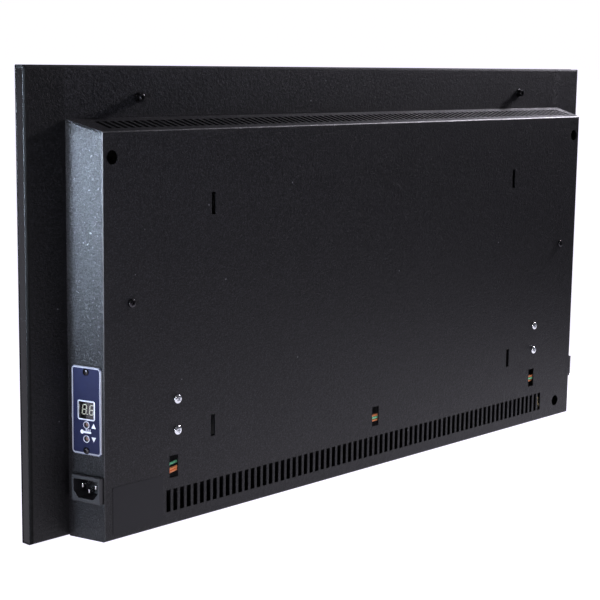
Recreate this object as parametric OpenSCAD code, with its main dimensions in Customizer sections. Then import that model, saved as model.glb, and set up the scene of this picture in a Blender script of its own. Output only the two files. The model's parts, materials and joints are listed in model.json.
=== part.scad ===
// Wall convector heater: a flat front panel tray with a tapered rear casing.
// Millimetres. +X is the end with the controls, +Y is the rear (wall) side, +Z is up.
// Inside the modules y is counted from the plane where the casing meets the panel.

/* [Front panel] */
// Width of the front panel
panel_w = 800; // [800:1:900]
// Height of the front panel
panel_h = 400; // [400:1:440]
// Depth of the folded panel tray
tray_d = 10; // [9:0.5:14]
// Thickness of the front plate
plate_t = 1.5; // [1:0.1:2.5]
// How far the tray stands back from the front plate's edge
tray_in = 0.3; // [0.2:0.1:2]

/* [Rear casing] */
// Depth of the casing behind the panel
case_d = 37; // [36:0.5:42]
// Sheet thickness of casing and tray
sheet = 1.2; // [0.8:0.1:1.4]
// Outside bend radius of the folds
bend_r = 2; // [1.6:0.1:3]
// Half of the casing's width at the panel
case_hw = 358.5; // [358.5:0.5:372]
// Height of the casing's top edge at the panel
case_h = 356; // [356:1:362]
// How far each wall leans in from the panel to the rear face
lean = 9; // [8:0.5:10]

/* [Vents and holes] */
// Width of a vent slot
vent_w = 5; // [4:0.5:5.5]
// Pitch of the vent slots
vent_p = 8; // [7.8:0.1:8]
// Length of an intake slot at the bottom
vent_l = 20; // [16:1:20]
// Number of intake slots at the bottom
vents_low = 72; // [40:1:72]
// Number of outlet slots in the top face
vents_top = 85; // [40:1:85]
// Sideways spacing of the hanging slots
hang_x = 450; // [440:1:460]
// Vertical spacing of the hanging slots
hang_z = 200; // [196:1:204]
// Diameter of the screwdriver access holes
access_d = 12; // [10:0.5:13]

/* [Controls] */
// Width of the control plate
ctl_w = 31; // [30:0.5:32]
// Height of the control plate
ctl_h = 76; // [75:0.5:78]
// Thickness of the control plate
ctl_t = 1.2; // [1:0.1:1.5]
// Travel of the two setting buttons
button_travel = 0.5; // [0.3:0.1:0.5]
// Tilt of the mains rocker to each side of level
rocker_tilt = 11; // [8:1:12]

/* [Heating element] */
// Length of the finned heating element
fin_l = 506; // [400:1:508]
// Diameter of the heater rod
rod_d = 8; // [7:0.5:8.5]
// Wire diameter over the insulation
wire_d = 2.4; // [2:0.1:2.4]

/* [Hidden] */
$fn = 32;

head_h = 2.4;                                   // pan head height of the rear screws
front_y = -(tray_d + plate_t);                  // front face, from the panel plane
rear_y = case_d + head_h;                       // rearmost screw heads
yp = -(front_y + rear_y)/2;                     // panel plane in the part's frame
th = atan(lean/case_d);                         // lean of the walls
pw = panel_w/2;
inn = case_d - sheet;                           // inner face of the rear wall
hang_z0 = 181.5;                                // middle height of the hanging slots
corner_top = [case_hw - 19, 325.8];             // access holes, upper pair
corner_low = [case_hw - 36, 18];                // access holes, lower pair
mid_s = [case_hw - 39, 202.7];                  // screws at half height
stud = [280, 373];                              // studs near the panel's top edge
ex = -3;                                        // middle of the element group
eb = 271;                                       // bracket screw, from the group's middle
ez = 98.3;                                      // height of the heater rod
ed = 18.5;                                      // depth of the heater rod
bs = 14;                                        // half the bracket screw spacing
sc = 20;                                        // middle of the control plate along the side wall
pc = 112.7;                                     // middle height of the control plate
ps = [146, 78.3];                                // heights of the plate's screws
wz = 113.1;                                     // middle height of the display
bz = [100.5, 88.4];                             // heights of the buttons
bh = -10;                                       // outer face of the control board
ic = [20.9, 45.3];                              // middle of the power inlet
rc = [21.6, 55.3];                              // middle of the rocker switch
rp = -0.8;                                      // depth of the rocker's pivot
rr = 13.8;                                      // radius of the rocker's end faces
tz = 89;                                        // height of the wire entries of the terminal block
navy = [0.13, 0.14, 0.3]; blk = [0.13, 0.13, 0.14]; steel = [0.75, 0.76, 0.78];

// ---- helpers ----
module bx(a, b) { translate(a) cube(b - a); }
module ycyl(d, y0, y1, x, z) { translate([x, y1, z]) rotate([90, 0, 0]) cylinder(d = d, h = y1 - y0); }
module xcyl(d, x0, x1, y, z) { translate([x0, y, z]) rotate([0, 90, 0]) cylinder(d = d, h = x1 - x0); }
module at_panel() { translate([0, yp, 0]) children(); }
// frames on the leaning walls: x along the wall to the rear, y up, z outwards
module side_frame() { translate([case_hw, yp, 0]) rotate([90, 0, 90 + th]) children(); }
module far_frame() { mirror([1, 0, 0]) side_frame() children(); }
module top_frame() { translate([0, yp, case_h]) rotate([-th, 0, 0]) children(); }
module both() { children(); mirror([1, 0, 0]) children(); }
function unit(a, b) = (b - a)/norm(b - a);
// polygon with its vertices rounded to the radii rr, as true arcs
module rpoly(pts, rd) {
  n = len(pts);
  polygon([for (i = [0:n-1]) let (V = pts[i], u = unit(V, pts[(i+n-1)%n]), w = unit(V, pts[(i+1)%n]),
    L = rd[i]/tan(acos(u*w)/2)) each (rd[i] > 0 ? [V + u*L, V + w*L] : [V])]);
  for (i = [0:n-1]) if (rd[i] > 0) {
    V = pts[i]; u = unit(V, pts[(i+n-1)%n]); w = unit(V, pts[(i+1)%n]);
    translate(V + (u + w)/norm(u + w)*rd[i]/sin(acos(u*w)/2)) circle(r = rd[i], $fn = 48);
  }
}
module rrect(w, h, r) { rpoly([[-w/2, -h/2], [w/2, -h/2], [w/2, h/2], [-w/2, h/2]], [r, r, r, r]); }
// pan head screw along y: head from the face at 0 outwards (+y), shank inwards
module pan_screw(hd, hh, sd, sl) {
  rotate([-90, 0, 0]) difference() {
    union() {
      cylinder(d = hd, h = hh*0.5);
      translate([0, 0, hh*0.5]) cylinder(d1 = hd, d2 = hd*0.66, h = hh*0.5);
      translate([0, 0, -sl]) cylinder(d = sd, h = sl);
    }
    for (a = [20, 110]) rotate([0, 0, a]) translate([-hd*0.27, -hd*0.06, hh*0.45]) cube([hd*0.54, hd*0.12, hh]);
  }
}
// round wire swept along a smooth curve through the points p
function proj(n, t) = let (v = n - t*(n*t)) v/norm(v);
function carry(T, N) = len(N) == len(T) ? N : carry(T, concat(N, [proj(N[len(N)-1], T[len(N)])]));
function col(a, b, c) = norm(cross(b - a, c - b)) < 0.001*norm(b - a)*norm(c - b);
function smooth(p, k) = [for (i = [0:len(p)-2], j = [0:((i == 0 || col(p[i-1], p[i], p[i+1])) &&
    (i == len(p)-2 || col(p[i], p[i+1], p[i+2])) ? 0 : k-1)]) let (t = j/k,
    a = p[max(i-1, 0)], b = p[i], c = p[i+1], e = p[min(i+2, len(p)-1)], L = norm(c - b),
    m = (i > 0 ? (c - a)/norm(c - a) : unit(b, c))*L, n = (i < len(p)-2 ? (e - b)/norm(e - b) : unit(b, c))*L)
    (2*t*t*t - 3*t*t + 1)*b + (t*t*t - 2*t*t + t)*m + (3*t*t - 2*t*t*t)*c + (t*t*t - t*t)*n, p[len(p)-1]];
module wire(p, d, k = 5) {
  q = smooth(p, k); m = len(q); s = 8;
  T = [for (i = [0:m-1]) unit(q[max(i-1, 0)], q[min(i+1, m-1)])];
  N = carry(T, [proj(abs(T[0][2]) > 0.8 ? [1, 0, 0] : [0, 0, 1], T[0])]);
  polyhedron([for (i = [0:m-1], j = [0:s-1]) q[i] + d/2*(cos(j*360/s)*N[i] + sin(j*360/s)*cross(T[i], N[i]))],
    concat([[for (j = [0:s-1]) s-1-j]], [[for (j = [0:s-1]) (m-1)*s + j]],
    [for (i = [0:m-2], j = [0:s-1], f = [0, 1]) let (a = i*s + j, b = i*s + (j+1)%s) f == 0 ? [a, b, b + s] : [a, b + s, a + s]]));
}
// point on the side wall's frame, given back in the part's frame with y from the panel plane
function sidep(s, z, h) = [case_hw - s*sin(th) + h*cos(th), s*cos(th) + h*sin(th), z];
function farp(s, z, h) = [-case_hw + s*sin(th) - h*cos(th), s*cos(th) + h*sin(th), z];
// straight wire ends: from depth h out to depth e, then 2 further
function send(s, z, h, e) = [for (v = [h, e, e - 2]) sidep(s, z, v)];
function fend(s, z, h, e) = [for (v = [h, e, e - 2]) farp(s, z, v)];
function xend(a, b, y, z) = [for (v = [a, b, b + 2*sign(b - a)]) [v, y, z]];
function rv(v) = [v[2], v[1], v[0]];

// ---- front panel and tray ----
module front_panel() color(blk) at_panel() translate([0, -tray_d, panel_h/2]) rotate([90, 0, 0])
  linear_extrude(plate_t) rrect(panel_w, panel_h, 1);

module pan(o, r) {   // solid inside a folded pan, o in from the outer faces
  a = pw - tray_in - o; z0 = tray_in + o; z1 = panel_h - tray_in - o; f = o > 0 ? -tray_d - 1 : -tray_d;
  intersection() {
    translate([0, 0, z0]) linear_extrude(z1 - z0) rpoly([[-a, f], [a, f], [a, -o], [-a, -o]], [0, 0, r, r]);
    translate([-a, 0, 0]) rotate([90, 0, 90]) linear_extrude(2*a) rpoly([[f, z0], [-o, z0], [-o, z1], [f, z1]], [0, r, r, 0]);
  }
}
module panel_tray() color(blk) at_panel() difference() {
  pan(0, 2.2);
  pan(sheet, 1);
  both() {
    for (p = [corner_top, corner_low, stud]) ycyl(4.6, -3, 1, p[0], p[1]);
    ycyl(7, -3, 1, mid_s[0], mid_s[1]);
    // corner seams: the side flanges stop short of the top and bottom flanges
    for (z = [tray_in + sheet, panel_h - tray_in - sheet - 0.4])
      bx([pw - tray_in - 1.9, -tray_d - 1, z], [pw + 1, -2.2, z + 0.4]);
  }
}
module insulation_board() color([0.62, 0.6, 0.55]) at_panel() difference() {
  bx([-pw + 8, -tray_d + 0.1, 8], [pw - 8, -sheet - 0.1, panel_h - 8]);
  both() {
    for (p = [corner_top, corner_low, stud]) bx([p[0] - 9, -tray_d - 1, p[1] - 9], [p[0] + 9, 1, p[1] + 9]);
    ycyl(12, -4, 1, mid_s[0], mid_s[1]);
  }
}
module nut_blocks() color(steel) at_panel() both() for (p = [corner_top, corner_low, stud]) difference() {
  bx([p[0] - 7, -tray_d, p[1] - 7], [p[0] + 7, -sheet, p[1] + 7]);
  ycyl(4.1, -tray_d + 0.5, 0, p[0], p[1]);
}
module panel_studs() color(blk) at_panel() for (s = [-1, 1]) translate([s*stud[0], 0, stud[1]]) difference() {
  union() { ycyl(7, 1, 5.2, 0, 0); ycyl(6.2, 5.2, 5.6, 0, 0); ycyl(4, -8.8, 1, 0, 0); }
  translate([0, 6, 0]) rotate([90, 0, 0]) cylinder(d = 3.4, h = 2.8, $fn = 6);
}
module stud_washers() color(blk) at_panel() for (s = [-1, 1]) difference() {
  ycyl(9, 0, 1, s*stud[0], stud[1]);
  ycyl(4.3, -1, 2, s*stud[0], stud[1]);
}

// ---- rear casing ----
module case_solid(o, r) {   // solid inside the casing, o in from the outer faces
  oc = o/cos(th); f = o > 0 ? sheet : 0; b = case_d - o;
  function hw(y) = case_hw - lean*y/case_d - oc;
  function ht(y) = case_h - lean*y/case_d - oc;
  intersection() {
    linear_extrude(case_h + 4) rpoly([[-hw(f), f], [hw(f), f], [hw(b), b], [-hw(b), b]], [0, 0, r, r]);
    translate([-case_hw - 1, 0, 0]) rotate([90, 0, 90]) linear_extrude(2*case_hw + 2)
      rpoly([[f, o], [b, o], [b, ht(b)], [f, ht(f)]], [0, r, r, 0]);
  }
}
module rear_casing() color(blk) {
  difference() {
    at_panel() case_solid(0, bend_r);
    at_panel() case_solid(sheet, bend_r - sheet);
    at_panel() {
      bx([-case_hw + 28.5, -1, 28], [case_hw - 28.5, sheet + 1, case_h - 12]);     // open front inside the return flange
      for (i = [0:vents_low-1]) { x = -5.8 + (i - (vents_low-1)/2)*vent_p;
        bx([x - vent_w/2, inn - 1, 21.9 - vent_l/2], [x + vent_w/2, case_d + 1, 21.9 + vent_l/2]); }
      for (x = [-272, 0, 272]) bx([x - 5, inn - 1, 42.4], [x + 5, case_d + 1, 62.4]);  // wire windows
      for (s = [-1, 1]) {
        for (t = [-1, 1]) bx([s*hang_x/2 - 2.5, inn - 1, hang_z0 + t*hang_z/2 - 10], [s*hang_x/2 + 2.5, case_d + 1, hang_z0 + t*hang_z/2 + 10]);
        for (p = [corner_top, corner_low]) { ycyl(access_d, inn - 1, case_d + 1, s*p[0], p[1]); ycyl(4.6, -1, sheet + 1, s*p[0], p[1]); }
        ycyl(4.6, inn - 1, case_d + 1, s*mid_s[0], mid_s[1]);
        for (t = [-1, 1]) ycyl(4.6, inn - 1, case_d + 1, ex + s*eb, ez + t*bs);
      }
    }
    top_frame() for (i = [0:vents_top-1]) { x = -3 + (i - (vents_top-1)/2)*vent_p;
      bx([x - vent_w/2, 9, -sheet - 1], [x + vent_w/2, 29.5, 1]); }
    both() top_frame() bx([case_hw - 13, -1, -sheet - 0.5], [case_hw + 3, 35, -sheet]);  // seams where the folded walls meet
    side_frame() {
      bx([8.5, 84, -3], [31.1, 140, 3]);
      for (z = ps) translate([sc, z, -3]) cylinder(d = 3.4, h = 6);
      bx([ic[0] - 13.7, ic[1] - 10.1, -3], [ic[0] + 13.7, ic[1] + 10.1, 3]);
    }
    far_frame() bx([rc[0] - 14.9, rc[1] - 11.7, -3], [rc[0] + 14.9, rc[1] + 11.7, 3]);
  }
}
module corner_screws() color(steel) at_panel() both() for (p = [corner_top, corner_low])
  translate([p[0], sheet, p[1]]) pan_screw(8, 2.6, 4, 9.8);
module mid_standoffs() color(steel) at_panel() both() difference() {
  union() { ycyl(9, 0, inn, mid_s[0], mid_s[1]); ycyl(6.9, -sheet, 0, mid_s[0], mid_s[1]); }
  ycyl(4.1, inn - 14, inn + 1, mid_s[0], mid_s[1]);
}
module mid_screws() color(blk) at_panel() both() translate([mid_s[0], case_d, mid_s[1]]) pan_screw(7.6, head_h, 4, 12);
module rating_plate() color([0.1, 0.1, 0.11]) at_panel() translate([312.8, case_d + 0.25, 25.7]) rotate([90, 0, 0])
  linear_extrude(0.25) rrect(56.6, 41.6, 1.5);

// ---- heating element ----
module bracket(s) difference() {
  union() {
    bx([s > 0 ? 0 : -20, inn - sheet, ez - 22], [s > 0 ? 20 : 0, inn, ez + 22]);
    bx([s > 0 ? 0 : -sheet, 4, ez - 26], [s > 0 ? sheet : 0, inn, ez + 52]);
  }
  xcyl(14.1, -3, 3, ed, ez);
  if (s > 0) for (y = [8, 29]) xcyl(3.1, -3, 3, y, ez + 38);
  if (s > 0) xcyl(12, -3, 3, ed, ez + 38);
  for (t = [-1, 1]) ycyl(4.1, inn - 3, inn + 1, s*10, ez + t*bs);
}
module element_brackets() color(steel) at_panel() for (s = [-1, 1]) translate([ex + s*(eb - 10), 0, 0]) bracket(s);
module bracket_screws() color(steel) at_panel() for (s = [-1, 1], t = [-1, 1])
  translate([ex + s*eb, case_d, ez + t*bs]) pan_screw(8.2, head_h, 4, 8);
module end_bushes() color([0.92, 0.9, 0.85]) at_panel() translate([ex, 0, 0]) both() difference() {
  union() { xcyl(20, eb - 13, eb - 10, ed, ez); xcyl(14, eb - 10, eb - 3, ed, ez); }
  xcyl(rod_d + 0.1, eb - 20, eb + 1, ed, ez);
}
module heater_rod() color(steel) at_panel() translate([ex, 0, 0]) {
  xcyl(rod_d, -eb - 1, eb + 1, ed, ez);
  both() xcyl(3, eb + 1, eb + 11, ed, ez);
}
module heating_fins() color([0.8, 0.81, 0.83]) at_panel() translate([ex - fin_l/2, ed, ez]) rotate([90, 0, 90])
  linear_extrude(fin_l) difference() {
    union() {
      circle(d = 14);
      for (a = [67, 113, 247, 293]) rotate(a) translate([0, -0.9]) square([30, 1.8]);
      for (a = [33, 147, 213, 327]) rotate(a) translate([0, -0.8]) square([15.5, 1.6]);
    }
    circle(d = rod_d + 0.1);
  }
cx = ex + eb - 10 + sheet;                      // outer face of the bracket at the control end
module thermal_cutout() color([0.25, 0.2, 0.17]) at_panel() {
  xcyl(16, cx + 1, cx + 8, ed, ez + 38);
  xcyl(11.6, cx - sheet - 1.5, cx + 1, ed, ez + 38);
  difference() {
    bx([cx, ed - 13, ez + 33], [cx + 1, ed + 13, ez + 43]);
    for (y = [8, 29]) xcyl(3.1, cx - 3, cx + 3, y, ez + 38);
  }
  for (t = [-1, 1]) bx([cx + 8, ed + t*4 - 0.4, ez + 35], [cx + 15, ed + t*4 + 0.4, ez + 41]);
}
module cutout_rivets() color(steel) at_panel() for (y = [8, 29]) {
  xcyl(3, cx - sheet, cx + 1, y, ez + 38);
  xcyl(4.8, cx + 1, cx + 1.8, y, ez + 38);
  xcyl(4.8, cx - sheet - 0.8, cx - sheet, y, ez + 38);
}

// ---- control unit on the side wall ----
module control_plate() color(navy) side_frame() translate([sc, 0, 0]) linear_extrude(ctl_t) difference() {
  translate([0, pc]) rrect(ctl_w, ctl_h, 3);
  translate([0, wz]) square([15, 14], center = true);
  for (z = bz) translate([0, z]) circle(d = 5);
  for (z = ps) translate([0, z]) circle(d = 3.4);
}
module plate_screws() color(blk) side_frame() for (z = ps) translate([sc, z, ctl_t]) rotate([90, 0, 0])
  pan_screw(5.8, 1.6, 3, 16);
module display_frame() color(steel) side_frame() translate([sc, wz, ctl_t]) linear_extrude(0.3) difference() {
  rrect(18.2, 17.1, 2);
  square([15.6, 14.5], center = true);
}
module display_lens() color([0.08, 0.08, 0.09, 0.5]) side_frame() translate([sc, wz, 0]) {
  translate([0, 0, ctl_t]) linear_extrude(0.2) square([15.6, 14.5], center = true);
  translate([0, 0, 0.1]) linear_extrude(ctl_t - 0.1) square([14.8, 13.8], center = true);
}
module led_module() color([0.12, 0.12, 0.12]) side_frame() bx([sc - 7.5, wz - 7, bh], [sc + 7.5, wz + 7, -2]);
// one seven-segment figure, h tall, with its point
module seg(w, h, t) {
  bar = h/2 - t*0.7;
  for (y = [-h/2, 0, h/2]) translate([0, y]) square([w - t*1.5, t], center = true);
  for (x = [-w/2, w/2], y = [-h/4, h/4]) translate([x, y]) square([t, bar], center = true);
  translate([w/2 + t*1.7, -h/2]) circle(d = t*1.1, $fn = 24);
}
module display_digits() color([0.85, 0.85, 0.8]) side_frame() translate([sc, wz, -2]) linear_extrude(0.2)
  for (x = [-4, 3.6]) multmatrix([[1, 0.12, 0, x], [0, 1, 0, 0], [0, 0, 1, 0], [0, 0, 0, 1]]) seg(4, 8.2, 0.85);
module printed_marks() color("white") side_frame() translate([sc, 0, ctl_t]) linear_extrude(0.1) {
  // border line with room for the lower screw head, the two arrows and a small thermometer between the buttons
  difference() {
    translate([0, pc]) rrect(ctl_w - 1, ctl_h - 1, 2.7);
    translate([0, pc]) rrect(ctl_w - 3.3, ctl_h - 3.3, 1.7);
    translate([0, ps[1]]) circle(d = 6.4);
  }
  translate([7.6, bz[0] - 0.2]) polygon([[-2.3, -2], [2.3, -2], [0, 2.2]]);
  translate([7.6, bz[1] + 0.2]) polygon([[-2.3, 2], [2.3, 2], [0, -2.2]]);
  translate([-0.6, (bz[0] + bz[1])/2 - 0.2]) {
    translate([-4, 0]) circle(d = 3.6);
    translate([0.8, 0]) rrect(9.6, 1.7, 0.8);
    for (x = [0, 2, 4]) translate([x, 1.1]) square([0.7, 1.7]);
  }
}
module button_rings() color(steel) side_frame() for (z = bz) translate([sc, z, ctl_t]) linear_extrude(0.35) difference() {
  circle(d = 6.5);
  circle(d = 5);
}
module button(z) side_frame() translate([sc, z, 0]) {
  translate([0, 0, button_travel - 5.9]) cylinder(d = 3.2, h = 6.4 - button_travel);
  translate([0, 0, button_travel - 9.7]) cylinder(d = 2.2, h = 4);
}
module up_button() color([0.6, 0.42, 0.36]) button(bz[0]);
module down_button() color([0.6, 0.42, 0.36]) button(bz[1]);
module tact_switches() color([0.2, 0.2, 0.2]) side_frame() for (z = bz) difference() {
  bx([sc - 3, z - 3, bh], [sc + 3, z + 3, -6]);
  translate([sc, z, bh + 0.2]) cylinder(d = 2.3, h = 6);
}
module control_board() color([0.08, 0.32, 0.18]) side_frame() difference() {
  bx([sc - 12.8, 72, bh - 1.6], [sc + 12.8, 152, bh]);
  for (z = ps) translate([sc, z, bh - 3]) cylinder(d = 3.4, h = 6);
}
module board_spacers() color([0.85, 0.84, 0.8]) side_frame() for (z = ps) difference() {
  translate([sc, z, bh]) cylinder(d = 6, h = -bh - sheet);
  translate([sc, z, bh - 1]) cylinder(d = 3.2, h = 14);
}
module board_nuts() color(steel) side_frame() for (z = ps) difference() {
  translate([sc, z, bh - 4]) cylinder(d = 6.2, h = 2.4, $fn = 6);
  translate([sc, z, bh - 5]) cylinder(d = 3.1, h = 6);
}
module relay() color([0.1, 0.25, 0.5]) side_frame() bx([sc - 7.7, 100, bh - 17], [sc + 7.7, 119, bh - 1.6]);
module power_module() color([0.12, 0.12, 0.12]) side_frame() bx([sc - 10, 123, bh - 16], [sc + 10, 141, bh - 1.6]);
module terminal_block() color([0.1, 0.5, 0.25]) side_frame() difference() {
  bx([sc - 10, 84, bh - 12], [sc + 10, 96, bh - 1.6]);
  for (i = [-2:2]) {
    translate([sc + i*4, 93, bh - 8]) rotate([-90, 0, 0]) cylinder(d = 2.6, h = 5);
    translate([sc + i*4, tz, bh - 13]) cylinder(d = 2.6, h = 6);
  }
}
module power_inlet() color([0.16, 0.16, 0.17]) side_frame() translate([ic[0], ic[1], 0]) difference() {
  union() {
    linear_extrude(4) rrect(30.7, 23.8, 1.4);
    translate([0, 0, 4]) linear_extrude(0.5) rrect(29.7, 22.8, 1);
    bx([-13.5, -9.9, -17], [13.5, 9.9, 0]);
  }
  translate([0, 0, -12]) linear_extrude(18) polygon([[-12.6, 8.2], [12.6, 8.2], [12.6, -3], [7.8, -8.2], [-7.8, -8.2], [-12.6, -3]]);
  for (p = [[-7, 1.5], [7, 1.5], [0, -2.6]]) bx([p[0] - 1.05, p[1] - 2.05, -18], [p[0] + 1.05, p[1] + 2.05, -10]);
}
module inlet_pins() color(steel) side_frame() translate([ic[0], ic[1], 0])
  for (p = [[-7, 1.5], [7, 1.5], [0, -2.6]]) bx([p[0] - 1, p[1] - 2, -24], [p[0] + 1, p[1] + 2, 0]);

// ---- mains rocker on the far wall ----
module rocker_housing() color(blk) far_frame() translate([rc[0], rc[1], 0]) difference() {
  union() {
    linear_extrude(1.4) rrect(32, 24, 1);
    translate([0, 0, 1.4]) linear_extrude(0.7) rrect(31, 23, 0.7);
    bx([-14.7, -11.5, -14], [14.7, 11.5, 0]);
  }
  bx([-rr - 0.3, -10.6, -9], [rr + 0.3, 10.6, 4]);
  translate([0, 0, rp]) rotate([90, 0, 0]) translate([0, 0, -13]) cylinder(d = 3.1, h = 26);
}
module rocker_switch() color([0.08, 0.08, 0.08]) far_frame() translate([rc[0], rc[1], rp]) rotate([0, -rocker_tilt, 0]) {
  translate([0, 10.3, 0]) rotate([90, 0, 0]) linear_extrude(20.6) intersection() {
    circle(r = rr, $fn = 96);
    polygon([[-15, -4], [15, -4], [15, 7.1], [0, 4.6], [-15, 7.1]]);
  }
  translate([0, 11.2, 0]) rotate([90, 0, 0]) cylinder(d = 3, h = 22.4);
}
module rocker_terminals() color([0.85, 0.75, 0.45]) far_frame() translate([rc[0], rc[1], 0])
  for (x = [-7, 7]) bx([x - 0.4, -3.1, -23], [x + 0.4, 3.1, -14]);

// ---- earth, sensor and wiring (y from the panel plane) ----
ep = [-305, 25];                                // earth stud on the bottom wall
module earth_stud() color([0.85, 0.75, 0.45]) at_panel() translate([ep[0], ep[1], sheet]) {
  cylinder(d = 9, h = 1);
  cylinder(d = 5, h = 22.5);
}
module earth_nuts() color([0.85, 0.75, 0.45]) at_panel() for (z = [sheet + 5, sheet + 11]) difference() {
  translate([ep[0], ep[1], z]) cylinder(d = 9.2, h = 4, $fn = 6);
  translate([ep[0], ep[1], z - 1]) cylinder(d = 5.1, h = 6);
}
module earth_ring() color(steel) at_panel() difference() {
  union() { translate([ep[0], ep[1], sheet + 9.5]) cylinder(d = 10, h = 1);
    bx([ep[0] - 2, ep[1] + 2, sheet + 9.5], [ep[0] + 2, ep[1] + 8.5, sheet + 10.5]);
    translate([ep[0], ep[1] + 6.5, sheet + 10]) cylinder(d = 3.6, h = 6); }
  translate([ep[0], ep[1], 0]) cylinder(d = 5.2, h = 30);
  translate([ep[0], ep[1] + 6.5, sheet + 11]) cylinder(d = 2.6, h = 6);
}
module temperature_sensor() color([0.15, 0.15, 0.15]) at_panel() difference() {
  xcyl(4.5, 287, 299, 22, 24);
  xcyl(1.7, 296, 300, 22, 24);
}
module sensor_clip() color(steel) at_panel() difference() {
  bx([290, 18.5, sheet], [296, 25.5, 28]);
  xcyl(4.6, 280, 300, 22, 24);
  bx([289, 20, sheet + 1], [297, 24, 19.5]);
}
module sensor_lead() color([0.85, 0.85, 0.85]) at_panel() wire(concat(xend(296.5, 301, 22, 24), [[307, 12, 33], [308, 5, 52], [319, 3.5, 75]],
  rv(send(sc - 8, tz, bh - 8, bh - 12.5))), 1.5);
module live_wires() color([0.85, 0.4, 0.2]) at_panel() {
  // inlet to rocker, rocker back to the board, rocker to the far end of the element
  wire(concat(send(ic[0] - 7, ic[1] + 1.5, -25, -31.2), [[315, 10, 50], [304, 20, 49.5], [289, 33, 47.4],
    [272, 33.4, 49.6], [255, 33.4, 51.9], [230, 33.4, 52.5], [0, 33.4, 52.5], [-240, 33.4, 53.4], [-270, 33.4, 53.5], [-286, 33.2, 53.6], [-304, 29, 54.6]],
    rv(fend(rc[0] + 7, rc[1], -24, -30.2))), wire_d);
  wire(concat(send(sc - 4, tz, bh - 8, bh - 12.5), [[319, 9, 72], [311, 22, 54], [305, 28.5, 45], [289, 33, 44.6], [272, 33.4, 47], [255, 33.4, 49.3], [230, 33.4, 49.9],
    [0, 33.4, 47.35], [-240, 33.4, 48.1], [-268, 33.4, 48.2], [-280, 31.8, 48.4], [-294, 23, 49.6], [-309, 13.5, 51.8]],
    rv(fend(rc[0] - 7, rc[1] - 1.5, -24, -30.2))), wire_d);
  wire(concat(fend(rc[0] - 7, rc[1] + 1.5, -24, -30.2), [[-317, 9, 68], [-306, 14, 86]],
    rv(xend(ex - eb - 11.5, ex - eb - 19, ed, ez))), wire_d);
}
module neutral_lead() color([0.15, 0.3, 0.75]) at_panel()
  wire(concat(send(ic[0] + 7, ic[1] + 1.5, -25, -31.2), [[317, 22, 58], [319, 23, 74]],
    rv(send(sc + 8, tz, bh - 8, bh - 12.5))), wire_d);
module earth_wire() color([0.2, 0.7, 0.4]) at_panel()
  wire(concat(send(ic[0], ic[1] - 2.6, -25, -31.2), [[313, 18, 40], [300, 26, 43.2], [293.5, 28.4, 44.2], [288, 29.5, 46.8],
    [281, 30, 50.6], [264, 30.6, 54], [240, 31, 56.2], [191, 30.9, 55.6], [140, 30.9, 53.4], [40, 30.9, 50.2], [12, 33.2, 49.9],
    [0, 33.4, 49.92], [-240, 33.4, 50.75], [-272, 33.4, 50.85], [-284, 33.8, 50], [-295, 33.8, 44], [-303, 32, 30], [ep[0], ep[1] + 6.5, 21],
    [ep[0], ep[1] + 6.5, sheet + 16.3], [ep[0], ep[1] + 6.5, sheet + 11.4]]), wire_d);
module element_leads() color([0.88, 0.88, 0.86]) at_panel() {
  wire(concat(send(sc + 4, tz, bh - 8, bh - 12.5), [[312, 16.5, 112], [300, 14.5, 134]],
    rv(xend(cx + 16, cx + 22.5, 14.5, ez + 38))), wire_d);
  wire(concat(xend(cx + 16, cx + 22.5, 22.5, ez + 38), [[294, 22.5, 130], [296.5, 19.5, 108]],
    rv(xend(ex + eb + 11.5, ex + eb + 19, ed, ez))), wire_d);
}
// insulated push-on terminals: a sleeve over the blade and a barrel for each wire
module push_on(bt, bw, l, w) difference() {   // blade bt thick and bw wide, its end at h = 0, wires at the offsets w
  union() {
    bx([-bt/2 - 0.8, -bw/2 - 0.6, -1.4], [bt/2 + 0.8, bw/2 + 0.6, l]);
    for (v = w) translate([0, v, -7]) cylinder(d = 3.8, h = 6);
  }
  bx([-bt/2 - 0.05, -bw/2 - 0.05, -0.05], [bt/2 + 0.05, bw/2 + 0.05, l + 1]);
  for (v = w) translate([0, v, -8]) cylinder(d = 2.6, h = 8.1);
}
module push_on_terminals() color([0.55, 0.2, 0.2]) {
  side_frame() for (p = [[-7, 1.5], [7, 1.5], [0, -2.6]]) translate([ic[0] + p[0], ic[1] + p[1], -24]) push_on(2, 4, 6, [0]);
  far_frame() for (x = [-7, 7]) translate([rc[0] + x, rc[1], -23]) push_on(0.8, 6.2, 7, x < 0 ? [-1.5, 1.5] : [0]);
  at_panel() for (t = [-4, 4]) translate([cx + 15, ed + t, ez + 38]) rotate([0, 180, 0]) rotate([90, 0, 90]) push_on(0.8, 6, 5, [0]);
}
module crimp_sleeves() color(steel) at_panel() translate([ex, 0, 0]) both() difference() {
  xcyl(4.8, eb + 4, eb + 18.5, ed, ez);
  xcyl(3.1, eb + 3, eb + 11.1, ed, ez);
  xcyl(2.6, eb + 11, eb + 20, ed, ez);
}
module wire_clips() color([0.9, 0.9, 0.88]) at_panel() for (x = [330/2 + 26, -60, -170]) difference() {
  bx([x - 4, 28.3, 44.2], [x + 4, inn, 59.2]);
  bx([x - 5, 29.4, 45.5], [x + 5, 34.9, 58]);
}

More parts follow.
